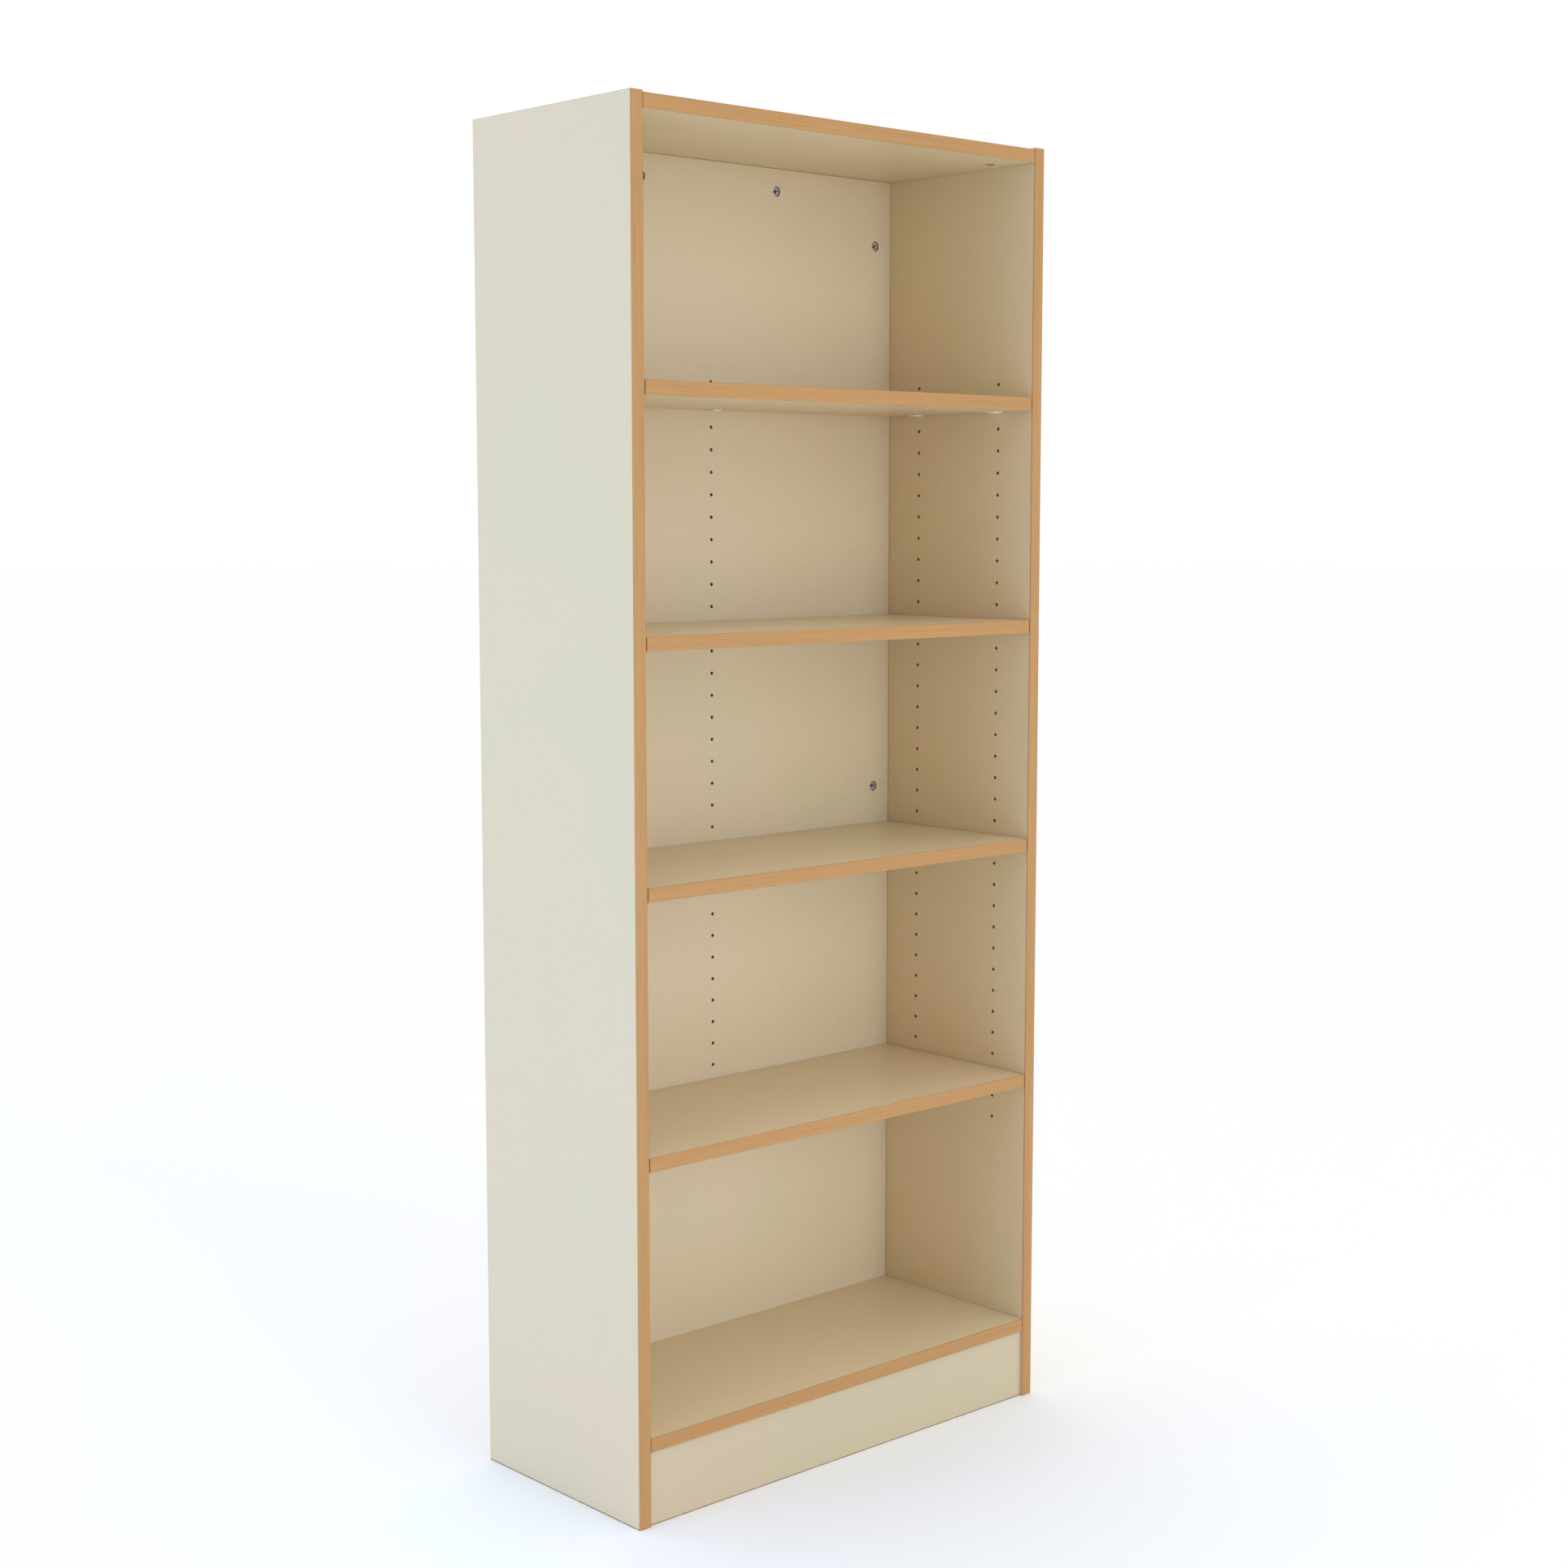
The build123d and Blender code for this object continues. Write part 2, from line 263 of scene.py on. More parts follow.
def drilled_laminate(colours, board, tone=1.0, joint_shade_width=0.0):
    """Laminate outside, and chipboard wherever the surface lies inside the board's box.

    The chipboard is darker the deeper a hole goes: painted shade. Where a panel's ends meet the sides,
    a dark line of the given width is painted, as painted shade between the boards.
    """
    skin = 0.25 * MM, 0.40 * MM          # depths between which laminate gives way to chipboard
    hole_shade_depths = 2.0 * MM, 5.0 * MM            # depths between which painted shade darkens a hole
    nodes, shade, rough, normal = laminate_nodes(f"laminate_{board}", colours)
    low, high = node_box(board)
    inside = nodes.add("ShaderNodeVectorMath", {"operation": "SUBTRACT"},
                       {0: nodes.place, 1: tuple((low + high) / 2)})
    inside = nodes.add("ShaderNodeVectorMath", {"operation": "ABSOLUTE"}, {0: inside})
    inside = nodes.add("ShaderNodeVectorMath", {"operation": "SUBTRACT"},
                       {0: tuple((high - low) / 2), 1: inside})
    parts = [nodes.add("ShaderNodeSeparateXYZ", None, {0: inside}, output=axis) for axis in range(3)]
    depth = parts[0].math("MINIMUM", parts[0], parts[1])
    depth = depth.math("MINIMUM", depth, parts[2])
    core = nodes.span(depth, *skin)
    chips = nodes.add("ShaderNodeTexVoronoi", None, {"Vector": nodes.place, "Scale": 900.0}, output="Color")
    chips = nodes.noise(chips, 3.0, 1.0)
    raw = nodes.mix(chips, opaque(colours.chipboard, 0.55), opaque(colours.chipboard, 1.5))
    # painted shade: chipboard deep in a hole fades to near black
    raw = nodes.mix(nodes.span(depth, *hole_shade_depths), raw, opaque(colours.chipboard, 0.08))
    # painted shade: a tone below one darkens the whole board, as on the plinth
    shade = nodes.mix(1.0, shade, (tone, tone, tone, 1.0), "MULTIPLY")
    if joint_shade_width:
        # painted shade: a dark line along the panel's ends, where it meets the sides
        joint_shade_mask = nodes.span(parts[0], 0.4 * joint_shade_width, joint_shade_width, 0.85, 0.0)
        shade = nodes.mix(joint_shade_mask, shade, opaque(colours.chipboard, 0.5))
    shade = nodes.mix(core, shade, raw)
    rough = rough + core * (0.95 - rough)
    return nodes.finish(Base_Color=shade, Roughness=rough, Normal=normal)


def beech(colours, along, name="beech", lacquer=0.1):
    """Beech: growth streaks and short dark flecks, both drawn out along the grain."""
    nodes = Nodes(bpy.data.materials.new(f"{name}_{along.lower()}"))

    def drawn(across, lengthwise):
        scale = [across] * 3
        scale[AXES[along]] = lengthwise
        return nodes.stretched(tuple(scale))

    wide = nodes.noise(drawn(60.0, 1.5), 1.0, 3.0, 0.55, 0.6)
    streak = nodes.noise(drawn(620.0, 4.0), 1.0, 4.0, 0.6, 0.3)
    pores = nodes.noise(drawn(2400.0, 36.0), 1.0, 2.0, 0.6)
    fleck = nodes.noise(drawn(1250.0, 200.0), 1.0, 1.0, 0.5)
    shade = nodes.mix(nodes.span(wide, 0.3, 0.72), opaque(colours, 0.96), opaque(colours, 1.06))
    shade = nodes.mix(nodes.span(streak, 0.38, 0.66, 0.0, 0.55), shade, opaque(colours, 0.80))
    shade = nodes.mix(nodes.span(fleck, 0.60, 0.72, 0.0, 0.22), shade, opaque(colours, 0.62))
    shade = nodes.mix(nodes.span(pores, 0.50, 0.70, 0.0, 0.35), shade, opaque(colours, 0.70))
    rough = nodes.span(streak, 0.3, 0.7, 0.42, 0.52)
    normal = nodes.bump(streak - pores * 0.5, 0.3, 0.00006)
    return nodes.finish(Base_Color=shade, Roughness=rough, Normal=normal,
                        Coat_Weight=lacquer, Coat_Roughness=0.3)


def edging(colours):
    """Thin melamine edging: a little darker than the boards, with faint lengthwise lines."""
    nodes = Nodes(bpy.data.materials.new("edging"))
    line = nodes.noise(nodes.stretched((900.0, 12.0, 12.0)), 1.0, 3.0)
    speck = nodes.noise(nodes.place, 1300.0, 2.0)
    shade = nodes.mix(nodes.span(line, 0.3, 0.7), opaque(colours.edging, 0.93), opaque(colours.edging, 1.05))
    shade = nodes.mix(nodes.span(speck, 0.45, 0.75, 0.0, 0.3), shade, opaque(colours.edging, 0.85))
    rough = nodes.span(line, 0.3, 0.7, 0.42, 0.5)
    return nodes.finish(Base_Color=shade, Roughness=rough, Normal=nodes.bump(line + speck, 0.2, 0.00004))


def base_strip(colours):
    """Brown strip: matt, scuffed a little lighter in places. Its dark brown is partly painted shade,
    standing in for the contact shadow along the floor.
    """
    nodes = Nodes(bpy.data.materials.new("base_strip"))
    scuff = nodes.noise(nodes.place, 90.0, 4.0, 0.6)
    grit = nodes.noise(nodes.place, 1400.0, 2.0)
    shade = nodes.mix(nodes.span(scuff, 0.45, 0.75), opaque(colours.base, 0.85), opaque(colours.base, 1.5))
    rough = nodes.span(grit, 0.3, 0.7, 0.6, 0.8)
    return nodes.finish(Base_Color=shade, Roughness=rough, Normal=nodes.bump(grit, 0.3, 0.00006))


def plastic(colours):
    """Moulded off-white plastic: soft gloss, slight flow marks."""
    nodes = Nodes(bpy.data.materials.new("support_plastic"))
    flow = nodes.noise(nodes.place, 160.0, 2.0, 0.5, 1.0)
    skin = nodes.noise(nodes.place, 3500.0, 2.0)
    shade = nodes.mix(nodes.span(flow, 0.3, 0.7),
                      opaque(colours.plastic, 0.97), opaque(colours.plastic, 1.03))
    rough = nodes.span(flow, 0.3, 0.7, 0.30, 0.40)
    return nodes.finish(Base_Color=shade, Roughness=rough, Normal=nodes.bump(skin, 0.15, 0.00002),
                        Subsurface_Weight=0.05, Subsurface_Scale=0.002)


def metal(name, shade, low, high, lines=900.0, recess=None):
    """Cast or plated metal: darker stain where it is roughest, and painted shade where an attribute marks a
    recess.
    """
    nodes = Nodes(bpy.data.materials.new(name))
    stain = nodes.noise(nodes.place, lines * 0.5, 4.0, 0.6)
    grit = nodes.noise(nodes.place, lines * 3.0, 2.0)
    tint = nodes.mix(nodes.span(stain, 0.35, 0.7), opaque(shade, 1.06), opaque(shade, 0.78))
    rough = nodes.span(stain, 0.3, 0.7, low, high)
    if recess:
        # painted shade: the cross recess is darkened almost to black
        painted_recess_shade = nodes.add("ShaderNodeAttribute", {"attribute_name": recess}, output="Fac")
        tint = nodes.mix(painted_recess_shade, tint, opaque(shade, 0.10))
        rough = rough + painted_recess_shade * (0.8 - rough)
    return nodes.finish(Base_Color=tint, Metallic=0.75, Roughness=rough,
                        Normal=nodes.bump(grit, 0.2, 0.00003))


def floor_finish(colours):
    """Smooth painted floor."""
    nodes = Nodes(bpy.data.materials.new("floor_paint"))
    cloud = nodes.noise(nodes.place, 0.7, 3.0)
    shade = nodes.mix(cloud, opaque(colours.floor, 0.995), opaque(colours.floor, 1.0))
    return nodes.finish(Base_Color=shade, Roughness=nodes.span(cloud, 0.3, 0.7, 0.80, 0.86))


def apply(material, *objects):
    """Gives every slot of each object this material."""
    for item in objects:
        item.data.materials.clear()
        item.data.materials.append(material)


# Surfaces ---------------------------------------------------------------------------------------

def new_piece(name, points, faces, crease_angle=math.radians(40), **values):
    """A mesh object at the origin, merged where sheets meet, smooth up to the crease angle.

    Each further value is a float attribute of the points.
    """
    mesh = bpy.data.meshes.new(name)
    mesh.from_pydata(points.tolist(), [], [list(face) for face in faces])
    for key, numbers in values.items():
        mesh.attributes.new(key, "FLOAT", "POINT").data.foreach_set("value", numbers)
    work = bmesh.new()
    work.from_mesh(mesh)
    bmesh.ops.remove_doubles(work, verts=work.verts, dist=1e-7)
    bmesh.ops.dissolve_degenerate(work, edges=work.edges, dist=1e-8)
    bmesh.ops.recalc_face_normals(work, faces=work.faces)
    work.to_mesh(mesh)
    work.free()
    mesh.shade_smooth()
    mesh.set_sharp_from_angle(angle=crease_angle)
    item = bpy.data.objects.new(name, mesh)
    bpy.context.scene.collection.objects.link(item)
    return item


def ring_faces(stations, points):
    """Quads between closed rings, and a fan to one more point at each end."""
    station, point = np.meshgrid(np.arange(stations - 1), np.arange(points), indexing="ij")
    after = (point + 1) % points
    here, there = station * points, (station + 1) * points
    sides = np.stack([here + point, here + after, there + after, there + point], -1).reshape(-1, 4)
    first = stations * points
    last = (stations - 1) * points
    p = np.arange(points)
    q = (p + 1) % points
    start = np.stack([q, p, np.full(points, first)], -1)
    end = np.stack([last + p, last + q, np.full(points, first + 1)], -1)
    return sides.tolist() + start.tolist() + end.tolist()


def rounded_ring(size, radii, steps=6):
    """Outline of a rectangle with round corners, and its outward normals.

    A corner is a quarter circle from angle a to a + 90 degrees about a centre that lies one
    radius inside both sides. A point one fifth of a radius before and after each corner
    keeps the flat sides flat.
    """
    points, normals = [], []
    signs = ((-1, -1), (1, -1), (1, 1), (-1, 1))
    for corner, (sign, radius) in enumerate(zip(signs, radii)):
        centre = np.array(sign) * (np.array(size) / 2 - radius)
        angle = math.pi * (1 + corner / 2) + np.linspace(0, math.pi / 2, steps)
        out = np.stack([np.cos(angle), np.sin(angle)], -1)
        arc = centre + radius * out
        along = np.stack([-out[:, 1], out[:, 0]], -1)
        guard = max(radius * 0.2, 0.05 * MM)
        points += [arc[:1] - along[:1] * guard, arc, arc[-1:] + along[-1:] * guard]
        normals += [out[:1], out, out[-1:]]
    return np.concatenate(points), np.concatenate(normals)


def rounded_bar(low, high, axis, radii, end_radius):
    """Bar with a rounded section: the outline is carried from end to end of the box.

    Near an end the outline draws in by r(1 - cos t) while the station lies r(1 - sin t) from
    the end plane, so the end has a round arris too. radii are those of the section's corners,
    counter-clockwise from the lowest in the two axes that follow the bar's own.
    """
    first, second = (axis + 1) % 3, (axis + 2) % 3
    size = np.array(high) - np.array(low)
    centre = (np.array(high) + np.array(low)) / 2
    outline, normals = rounded_ring((size[first], size[second]), radii)
    turn = np.linspace(math.pi / 2, 0, 5)
    inset = end_radius * (1 - np.cos(turn))
    offset = end_radius * (1 - np.sin(turn))
    inset = np.append(inset, 0.0)
    offset = np.append(offset, end_radius * 1.5)
    inset = np.concatenate([inset, inset[::-1]])
    place = np.concatenate([low[axis] + offset, (high[axis] - offset)[::-1]])
    ring = outline[None] - normals[None] * inset[:, None, None]
    points = np.empty((len(place), len(outline), 3))
    points[..., axis] = place[:, None]
    points[..., first] = centre[first] + ring[..., 0]
    points[..., second] = centre[second] + ring[..., 1]
    caps = np.repeat(centre[None], 2, axis=0)
    caps[:, axis] = low[axis], high[axis]
    return np.concatenate([points.reshape(-1, 3), caps]), ring_faces(len(place), len(outline))


def joined(parts):
    """Several shells as one list of points and one of faces."""
    points, faces, count = [], [], 0
    for part_points, part_faces in parts:
        points.append(part_points)
        faces += [[index + count for index in face] for face in part_faces]
        count += len(part_points)
    return np.concatenate(points), faces


def edge_spaced(extent, edge, middle, steps=5):
    """Places across an extent, close together near both edges: quarter-circle spacing."""
    near = edge * (1 - np.cos(np.linspace(0, math.pi / 2, steps)))
    centre = np.linspace(near[-1], extent - near[-1], middle)[1:-1]
    return np.concatenate([near, centre, extent - near[::-1]])


def rounding(distance, edge):
    """Share of full thickness at a distance from the rim: a quarter ellipse over the edge."""
    inner = np.clip(1 - distance / edge, 0, 1)
    return np.sqrt(1 - inner ** 2)


def support_shell(plate_reach, plate_low, plate_high, leg_top, leg_thick, width, shapes):
    """An L-shaped support in its own axes: across, out of the wall, up.

    A centre line runs down the leg, round a small bend and out along the plate. The surface
    lies half a thickness to both sides of it. The thickness falls to nothing over the rim as a
    quarter ellipse, and the arm grows shorter near both edges so that its corners are round.
    """
    edge, corner = shapes.support_edge, shapes.support_corner
    across = edge_spaced(width, edge, 24) - width / 2
    beyond = np.clip(np.abs(across) - (width / 2 - corner), 0, corner)
    shorter = corner - np.sqrt(corner ** 2 - beyond ** 2)
    plate_thick = plate_high - plate_low
    bend = 0.9 * leg_thick
    mid_out, mid_up = leg_thick / 2, (plate_low + plate_high) / 2
    leg_length = leg_top - shorter * 0.8 - (mid_up + bend)
    arm_length = plate_reach - shorter - (mid_out + bend)
    down = edge_spaced(1.0, 0.06, 5)[:-5][None] * leg_length[:, None]
    turn = np.linspace(0, math.pi / 2, 7)[None].repeat(len(across), 0)
    away = edge_spaced(1.0, 0.05, 9)[5:][None] * arm_length[:, None]
    out = np.concatenate([np.full_like(down, mid_out), mid_out + bend * (1 - np.cos(turn)),
                          mid_out + bend + away], 1)
    up = np.concatenate([mid_up + bend + leg_length[:, None] - down, mid_up + bend * (1 - np.sin(turn)),
                         np.full_like(away, mid_up)], 1)
    normal_out = np.concatenate([np.ones_like(down), np.cos(turn), np.zeros_like(away)], 1)
    normal_up = np.concatenate([np.zeros_like(down), np.sin(turn), np.ones_like(away)], 1)
    share = np.concatenate([np.zeros_like(down), turn / (math.pi / 2), np.ones_like(away)], 1)
    thick = leg_thick + (plate_thick - leg_thick) * share
    leg_rim = rounding(down, edge)
    arm_rim = rounding(arm_length[:, None] - away, edge)
    rim = np.concatenate([leg_rim, np.ones_like(turn), arm_rim], 1)
    rim = rim * rounding(width / 2 - np.abs(across), edge)[:, None]
    half = thick / 2 * rim
    side = np.repeat(across[:, None], out.shape[1], 1)
    room = np.stack([side, out + normal_out * half, up + normal_up * half], -1)
    wall = np.stack([side, out - normal_out * half, up - normal_up * half], -1)
    rows, columns = out.shape
    row, column = np.meshgrid(np.arange(rows - 1), np.arange(columns - 1), indexing="ij")
    index = row * columns + column
    quads = np.stack([index, index + 1, index + columns + 1, index + columns], -1).reshape(-1, 4)
    points = np.concatenate([room.reshape(-1, 3), wall.reshape(-1, 3)])
    return points, quads.tolist() + (quads[:, ::-1] + rows * columns).tolist()


def lathe(profile, steps=28):
    """A profile of radius and height turned about the height axis, closed at both ends."""
    angle = np.linspace(0, 2 * math.pi, steps, endpoint=False)
    radius, height = np.array(profile).T
    points = np.stack([radius[:, None] * np.cos(angle), radius[:, None] * np.sin(angle),
                       np.repeat(height[:, None], steps, 1)], -1)
    caps = np.array([[0, 0, height[0]], [0, 0, height[-1]]])
    return np.concatenate([points.reshape(-1, 3), caps]), ring_faces(len(height), steps)


def cam_shell(radius, height, shapes, rings=34, steps=108):
    """A cam with its face at height zero, and how deep each point lies in its cross recess.

    It is a polar height field over a plain drum. The face falls by the distance into the
    rim's bevel, and by the recess inside a cross of two bars with sloping walls.
    """
    bar_length, bar_width, wall_run = 9.0 * MM, 2.0 * MM, 0.33 * MM
    angle = np.linspace(0, 2 * math.pi, steps, endpoint=False)
    reach = np.concatenate([np.linspace(0, radius - shapes.cam_chamfer, rings)[1:],
                            np.linspace(radius - shapes.cam_chamfer, radius, 4)[1:]])
    x, y = reach[:, None] * np.cos(angle), reach[:, None] * np.sin(angle)

    def bar(along, over):
        inside = np.minimum(bar_length / 2 - np.abs(along), bar_width / 2 - np.abs(over))
        return np.clip(inside / wall_run + 0.5, 0, 1)

    cross = np.maximum(bar(x, y), bar(y, x))
    z = -shapes.cam_recess * cross - np.clip(reach[:, None] - (radius - shapes.cam_chamfer), 0, None)
    face = np.stack([x, y, z], -1)
    drum = np.stack([radius * np.cos(angle), radius * np.sin(angle), np.full(steps, -height)], -1)
    caps = np.array([[0, 0, -shapes.cam_recess], [0, 0, -height]])
    points = np.concatenate([face.reshape(-1, 3), drum, caps])
    depth = np.concatenate([cross.reshape(-1), np.zeros(steps), [1.0, 0.0]])
    return points, ring_faces(len(reach) + 1, steps), depth


def set_in(points, origin, across, out, up):
    """Carries points from a piece's own axes to its place."""
    return np.array(origin) + points @ np.array([across, out, up], float)


# Pieces --------------------------------------------------------------------------------------------

def lipping_piece(node, axis, body, front_corners, shapes, finish):
    """A lipping with two round front arrises and barely eased rear edges."""
    low, high = node_box(node)
    radii = [shapes.lipping_radius if corner in front_corners else shapes.arris for corner in range(4)]
    piece = new_piece(f"beech_{node}", *rounded_bar(low, high, AXES[axis], radii, shapes.arris))
    apply(finish, piece)
    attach(piece, body)
    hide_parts(node)


def support_piece(node, shapes, finish):
    """One plug-in support, worked out from the box of its CAD node."""
    low, high = node_box(node)
    size = high - low
    if node.endswith("centre"):
        wall = np.array([(low[0] + high[0]) / 2, high[1] - PIN_LENGTH, 0])
        out, across, width = (0, -1, 0), (1, 0, 0), size[0]
    else:
        sign = -1 if node.endswith("left") else 1
        edge = low[0] + PIN_LENGTH if sign < 0 else high[0] - PIN_LENGTH
        wall = np.array([edge, (low[1] + high[1]) / 2, 0])
        out, across, width = (-sign, 0, 0), (0, -sign, 0), size[1]
    reach = max(size[0], size[1]) - PIN_LENGTH
    shell, faces = support_shell(reach, low[2], low[2] + SUPPORT_PLATE, high[2], SUPPORT_LEG, width, shapes)
    bevel = 0.5 * MM
    pin, pin_faces = lathe([(PIN_RADIUS - bevel, -PIN_LENGTH), (PIN_RADIUS, bevel - PIN_LENGTH),
                            (PIN_RADIUS, -0.02 * MM), (PIN_RADIUS - bevel, SUPPORT_LEG * 0.4)])
    pin = pin[:, [0, 2, 1]] + (0, 0, high[2] - SUPPORT_LEG_RISE)
    points, faces = joined([(shell, faces), (pin, pin_faces)])
    piece = new_piece(f"moulded_{node}", set_in(points, wall, across, out, (0, 0, 1)), faces)
    apply(finish, piece)
    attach(piece, CARCASS)
    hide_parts(node)


def cam_places(node):
    """Centres, outward and bolt directions of the cams of one group, from the group's box."""
    low, high = node_box(node)
    radius = CAM_RADIUS
    xs = {-1: low[0] + radius, 1: high[0] - radius}
    if node == "back_panel_cams":
        places = [((xs[s], low[1], low[2] + radius + step * BACK_CAM_STEP), (0, -1, 0), (s, 0, 0))
                  for s in (-1, 1) for step in range(3)]
        return places + [((s * TOP_CAM_X, low[1], high[2] - radius), (0, -1, 0), (0, 0, 1)) for s in (-1, 1)]
    ys = sorted({round(low[1] + radius, 6), round(high[1] - radius, 6)})
    return [((xs[s], y, low[2]), (0, 0, -1), (s, 0, 0)) for s in (-1, 1) for y in ys]


def cam_piece(node, shapes, finish):
    """All cams of one group, each turned further than the one before."""
    first_turn, further_turn = math.radians(25), math.radians(37)
    shells, depths = [], []
    for count, (place, out, towards) in enumerate(cam_places(node)):
        points, faces, depth = cam_shell(CAM_RADIUS, CAM_HEIGHT, shapes)
        depths.append(depth)
        turn = first_turn + further_turn * count
        cosine, sine = math.cos(turn), math.sin(turn)
        spin = np.array([[cosine, sine, 0], [-sine, cosine, 0], [0, 0, 1]])
        side = np.cross(out, towards)
        shells.append((set_in(points @ spin, place, towards, side, out), faces))
    piece = new_piece(f"cast_{node}", *joined(shells), crease_angle=math.radians(35),
                      recess=np.concatenate(depths))
    apply(finish, piece)
    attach(piece, CARCASS)
    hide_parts(node)


# Operators -----------------------------------------------------------------------------------------

class BOOKCASE_OT_lippings(bpy.types.Operator):
    """Beech lippings on the front edges, rounded at both arrises"""
    bl_idname = "bookcase.lippings"
    bl_label = "Lippings"

    def execute(self, context):
        shapes, colours = context.scene.bookcase_shapes, context.scene.bookcase_colours
        across, upright = beech(colours.beech, "X"), beech(colours.beech, "Z")
        for side in SIDES:
            lipping_piece(f"{side}_side_front_lipping", "Z", CARCASS, (0, 1), shapes, upright)
        for panel in ("top_panel", "bottom_panel"):
            lipping_piece(f"{panel}_front_lipping", "X", CARCASS, (0, 3), shapes, across)
        for number in SHELVES:
            lipping_piece(f"shelf_{number}_front_lipping", "X", f"shelf_{number}", (0, 3), shapes, across)
        return {"FINISHED"}


class BOOKCASE_OT_shelves(bpy.types.Operator):
    """Shelf boards with eased edges"""
    bl_idname = "bookcase.shelves"
    bl_label = "Shelves"

    def execute(self, context):
        shapes, finish = context.scene.bookcase_shapes, laminate(context.scene.bookcase_colours)
        for number in SHELVES:
            node = f"shelf_{number}"
            bar = rounded_bar(*node_box(node), AXES["X"], [shapes.arris] * 4, shapes.arris)
            piece = new_piece(f"board_{node}", *bar)
            apply(finish, piece)
            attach(piece, node)
            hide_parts(node)
        return {"FINISHED"}


class BOOKCASE_OT_supports(bpy.types.Operator):
    """Plug-in supports: five under each shelf"""
    bl_idname = "bookcase.supports"
    bl_label = "Supports"

    def execute(self, context):
        finish = plastic(context.scene.bookcase_colours)
        for number in SHELVES:
            for place in SUPPORT_PLACES:
                support_piece(f"shelf_{number}_support_{place}", context.scene.bookcase_shapes, finish)
        return {"FINISHED"}


class BOOKCASE_OT_cams(bpy.types.Operator):
    """Cast cams with a cross recess"""
    bl_idname = "bookcase.cams"
    bl_label = "Cams"

    def execute(self, context):
        finish = metal("zinc", context.scene.bookcase_colours.zinc, 0.32, 0.5, recess="recess")
        for panel in ("top", "bottom", "back"):
            cam_piece(f"{panel}_panel_cams", context.scene.bookcase_shapes, finish)
        return {"FINISHED"}


class BOOKCASE_OT_boards(bpy.types.Operator):
    """Laminate on the boards of the carcass, with chipboard inside their holes"""
    bl_idname = "bookcase.boards"
    bl_label = "Boards"

    def execute(self, context):
        colours, nodes = context.scene.bookcase_colours, frame["nodes"]
        for side in SIDES:
            board = f"{side}_side_panel"
            apply(drilled_laminate(colours, board), nodes[board])
        joint_shade_width = context.scene.bookcase_shapes.joint_shade_line
        for board in ("top_panel", "bottom_panel", "back_panel"):
            apply(drilled_laminate(colours, board, joint_shade_width=joint_shade_width), nodes[board])
        apply(drilled_laminate(colours, "plinth", colours.plinth_shade, joint_shade_width), nodes["plinth"])
        return {"FINISHED"}


class BOOKCASE_OT_fittings(bpy.types.Operator):
    """Finish of the strips, bolts, screws, dowels and corner blocks"""
    bl_idname = "bookcase.fittings"
    bl_label = "Strips and fittings"

    def execute(self, context):
        colours, nodes = context.scene.bookcase_colours, frame["nodes"]
        thin, brown = edging(colours), base_strip(colours)
        for side in SIDES:
            apply(thin, nodes[f"{side}_side_top_strip"], nodes[f"{side}_side_rear_strip"])
            apply(brown, nodes[f"{side}_side_base_strip"])
        apply(brown, nodes["plinth_base_strip"])
        apply(metal("plated_steel", colours.steel, 0.25, 0.42), nodes["cam_bolts"],
              nodes["corner_block_screws"])
        apply(beech(colours.raw_beech, "X", "raw_beech", 0.0), nodes["dowels"])
        apply(beech(colours.raw_beech, "Z", "raw_beech", 0.0), nodes["left_corner_block"],
              nodes["right_corner_block"])
        return {"FINISHED"}


# Stage ----------------------------------------------------------------------------------------------

CAMERA_PLACE = (-2.3146, float(LOW[1]) - 2.4065, 1.3183)
CAMERA_DOWN = 0.1093             # radians below level
CAMERA_TURN = 0.7383             # radians to the right of straight ahead
CAMERA_LENS = 56.52              # mm, on a sensor 36 mm wide
FLOOR_RADIUS, FLOOR_RINGS, FLOOR_SPOKES = 60.0, 24, 64
FRONTAL_SPREAD, RAISED_SPREAD = math.radians(15), math.radians(24)
RAISED_FALL = 0.36               # how far the raised lamp's light falls in one metre
NEAR_PLACE, NEAR_SIZE, NEAR_WATTS = Vector((0.2, -2.2, 0.9)), 0.8, 50.0
WINDOW_PLACE, WINDOW_SIZE, WINDOW_WATTS = Vector((-3.5, 0.3, 1.3)), 2.0, 100.0


def lamp(kind, name, place, direction, light, power=1.0):
    """A lamp of one kind, pointed along a direction: its level is the strongest part of its light."""
    data = bpy.data.lights.new(name, kind)
    data.energy = max(light) * power
    data.color = [part / max(light) for part in light]
    item = bpy.data.objects.new(name, data)
    item.location = place
    item.rotation_euler = Vector(direction).to_track_quat("-Z", "Y").to_euler()
    bpy.context.scene.collection.objects.link(item)
    return data


def soft_world(studio):
    """Colourless surroundings, brighter on the far sides and above.

    The share of a side is the square of the direction's component towards it, so the
    shares of the three sides that a direction faces always add to one.
    """
    nodes = Nodes(bpy.data.worlds.new("studio"), "Generated")
    x, y, z = (nodes.add("ShaderNodeSeparateXYZ", None, {0: nodes.place}, output=axis) for axis in range(3))
    more = studio.far_sides - studio.near_sides
    strength = z * z * studio.above
    for part in (x, y):
        side = part.math("GREATER_THAN", part, 0.0) * more + studio.near_sides
        strength = strength + part * part * side
    white = opaque((1.0, 1.0, 1.0))
    backdrop = nodes.add("ShaderNodeBackground", None, {"Color": white, "Strength": strength})
    nodes.add("ShaderNodeOutputWorld", None, {"Surface": backdrop})
    return nodes.owner


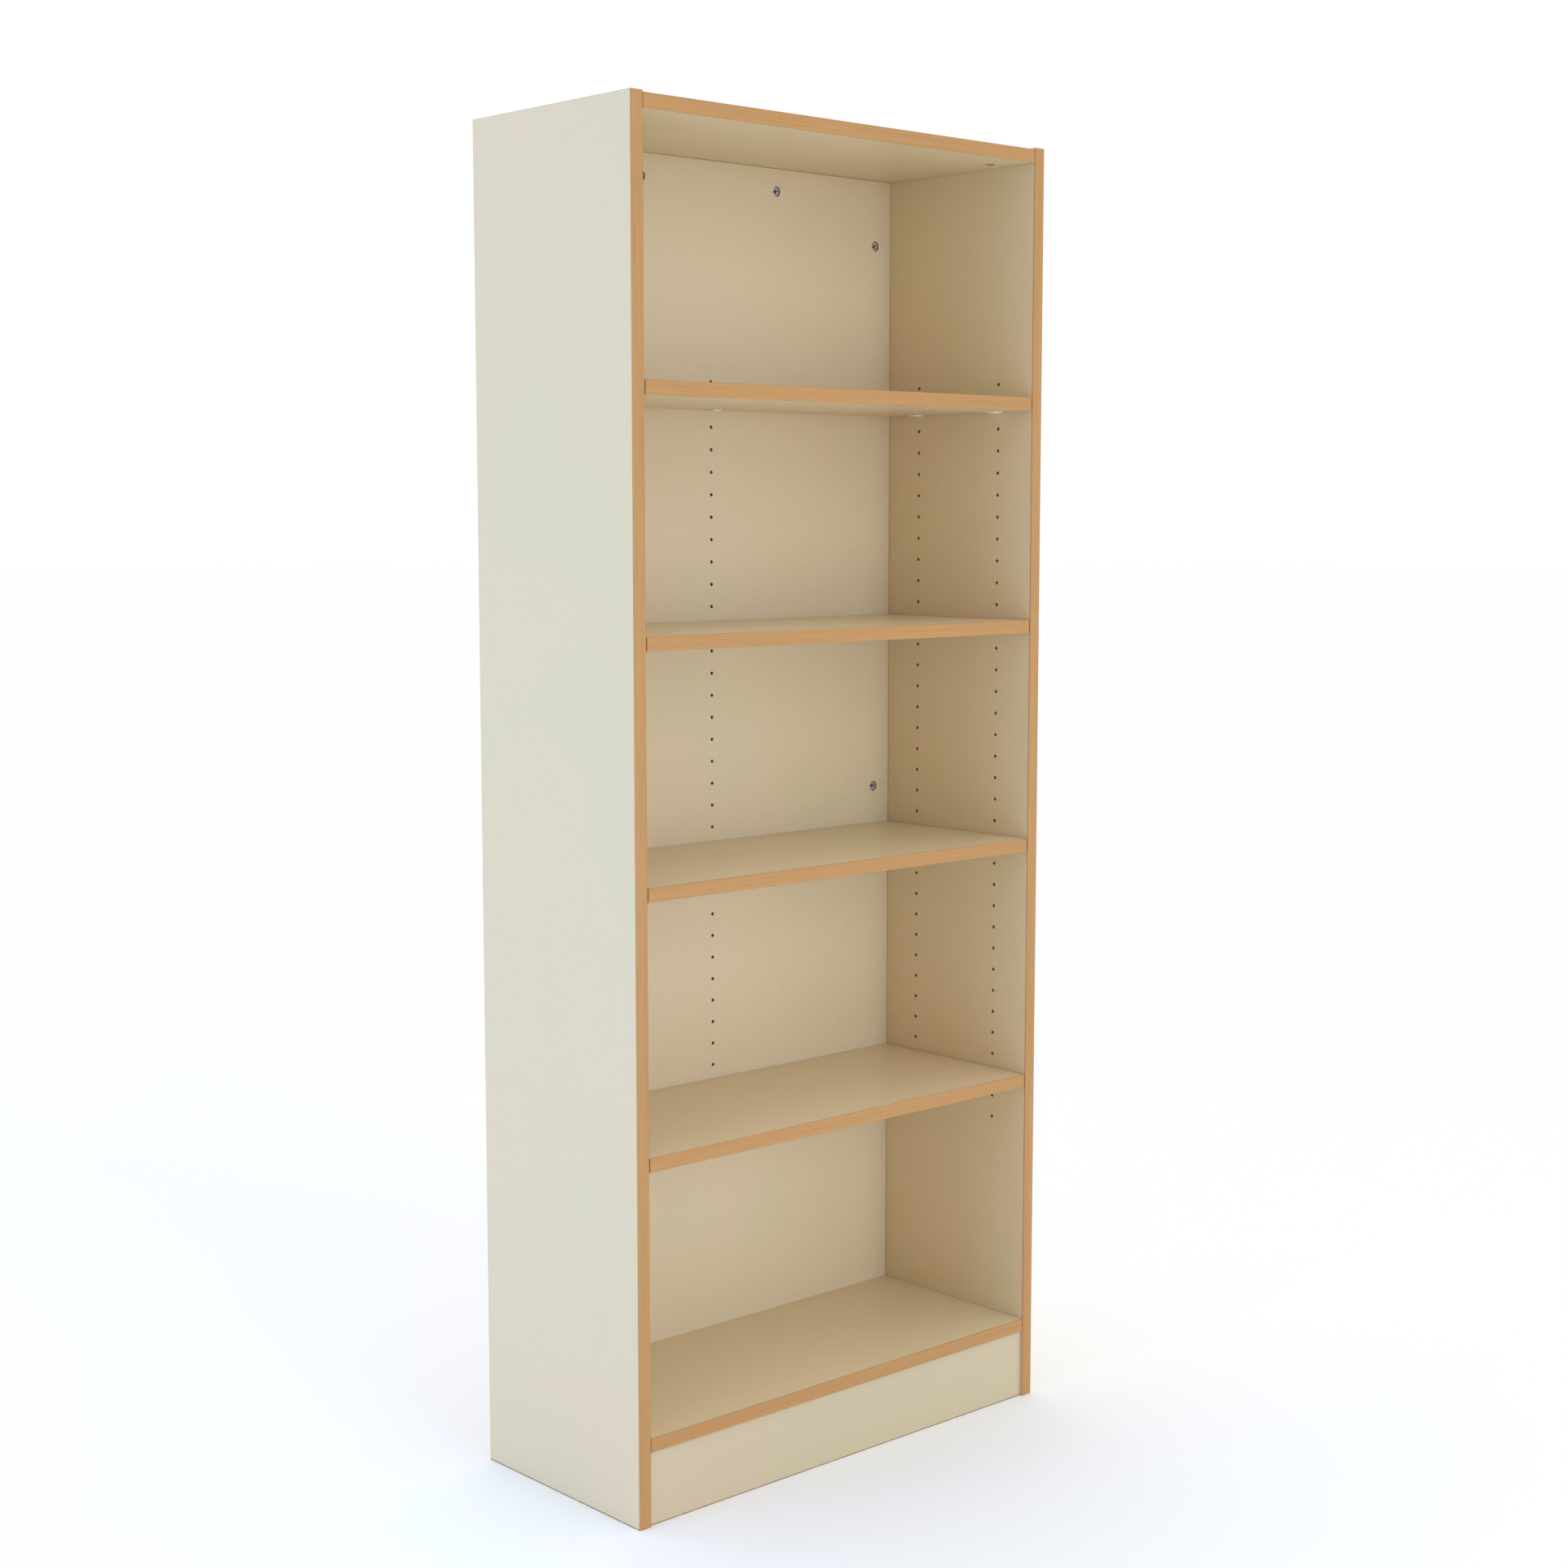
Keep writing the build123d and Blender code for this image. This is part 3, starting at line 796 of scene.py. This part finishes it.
def studio_floor():
    """Flat disc: rings of equal steps about the origin, facing up."""
    rim = np.linspace(0, FLOOR_RADIUS, FLOOR_RINGS + 1)[1:]
    angle = np.linspace(0, 2 * math.pi, FLOOR_SPOKES, endpoint=False)
    disc = np.stack([rim[:, None] * np.cos(angle), rim[:, None] * np.sin(angle),
                     np.zeros((len(rim), len(angle)))], -1).reshape(-1, 3)
    middle = len(disc)
    faces = [face for face in ring_faces(len(rim), len(angle)) if middle + 1 not in face]
    floor = new_piece("floor", np.concatenate([disc, [[0, 0, 0]]]), faces)
    if floor.data.polygons[0].normal.z < 0:
        floor.data.flip_normals()
    return floor


class BOOKCASE_OT_stage(bpy.types.Operator):
    """Pale floor, soft light and the camera"""
    bl_idname = "bookcase.stage"
    bl_label = "Stage"

    def execute(self, context):
        scene, studio = context.scene, context.scene.bookcase_studio
        scene.view_settings.view_transform = "Standard"
        floor = studio_floor()
        apply(floor_finish(scene.bookcase_colours), floor)

        scene.world = soft_world(studio)
        middle = Vector((0.0, 0.0, float(HIGH[2]) / 2))
        frontal_light = lamp("SUN", "frontal", middle, (0.0, 1.0, 0.0), studio.frontal)
        frontal_light.angle = FRONTAL_SPREAD
        raised_light = lamp("SUN", "raised", middle, (0.0, 1.0, -RAISED_FALL), studio.raised)
        raised_light.angle = RAISED_SPREAD
        near_light = lamp("AREA", "near", NEAR_PLACE, middle - NEAR_PLACE, studio.near, NEAR_WATTS)
        near_light.size = NEAR_SIZE
        window_light = lamp("AREA", "window", WINDOW_PLACE, middle - WINDOW_PLACE,
                            studio.window, WINDOW_WATTS)
        window_light.size = WINDOW_SIZE

        camera = bpy.data.cameras.new("camera")
        camera.sensor_width, camera.lens = 36.0, CAMERA_LENS
        item = bpy.data.objects.new("camera", camera)
        item.location = CAMERA_PLACE
        item.rotation_euler = (math.pi / 2 - CAMERA_DOWN, 0.0, -CAMERA_TURN)
        scene.collection.objects.link(item)
        scene.camera = item
        return {"FINISHED"}


STEPS = (BOOKCASE_OT_lippings, BOOKCASE_OT_shelves, BOOKCASE_OT_supports, BOOKCASE_OT_cams,
         BOOKCASE_OT_boards, BOOKCASE_OT_fittings, BOOKCASE_OT_stage)
GROUPS = {"bookcase_shapes": BookcaseShapes, "bookcase_colours": BookcaseColours,
          "bookcase_studio": BookcaseStudio}


class BOOKCASE_PT_panel(bpy.types.Panel):
    """Lists the pieces of the bookcase"""
    bl_idname = "BOOKCASE_PT_panel"
    bl_label = "Bookcase"
    bl_space_type = "VIEW_3D"
    bl_region_type = "UI"
    bl_category = "Bookcase"

    def draw(self, context):
        for step in STEPS:
            self.layout.operator(step.bl_idname)
        for group, kind in GROUPS.items():
            for name in kind.__annotations__:
                self.layout.prop(getattr(context.scene, group), name)


def register():
    for group, kind in GROUPS.items():
        bpy.utils.register_class(kind)
        setattr(bpy.types.Scene, group, bpy.props.PointerProperty(type=kind))
    for kind in STEPS + (BOOKCASE_PT_panel,):
        bpy.utils.register_class(kind)


def unregister():
    for kind in (BOOKCASE_PT_panel,) + STEPS[::-1]:
        bpy.utils.unregister_class(kind)
    for group, kind in GROUPS.items():
        delattr(bpy.types.Scene, group)
        bpy.utils.unregister_class(kind)


def main():
    register()
    for step in STEPS:
        getattr(bpy.ops.bookcase, step.bl_idname.split(".")[1])()


if __name__ == "__main__":
    main()
